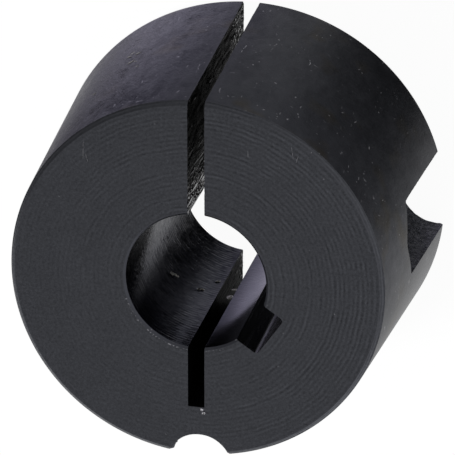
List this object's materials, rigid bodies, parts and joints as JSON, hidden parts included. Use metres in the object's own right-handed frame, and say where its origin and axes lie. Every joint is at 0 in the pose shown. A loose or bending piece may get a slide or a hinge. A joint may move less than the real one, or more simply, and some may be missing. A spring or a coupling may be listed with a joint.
{
  "type": "taper bush",
  "caption": "Slit cone bush that clamps a hub on a shaft, with a keyed bore, blind set-screw half-holes and a threaded jacking half-hole.",
  "frame": {"origin": "on the bore's axis, in the plane of the large-end face", "axes": "+Z along the bore from the large end to the small end; +Y towards the slit; +X towards the screw half-hole that lies about 85 degrees clockwise of the slit, seen from the small end"},
  "size_m": [0.0348, 0.0348, 0.022],
  "materials": {
    "blackened_iron": "machined, blackened and oiled, satin"
  },
  "bodies": {
    "root": {"taper_bush": "blackened_iron"}
  },
  "joints": []
}
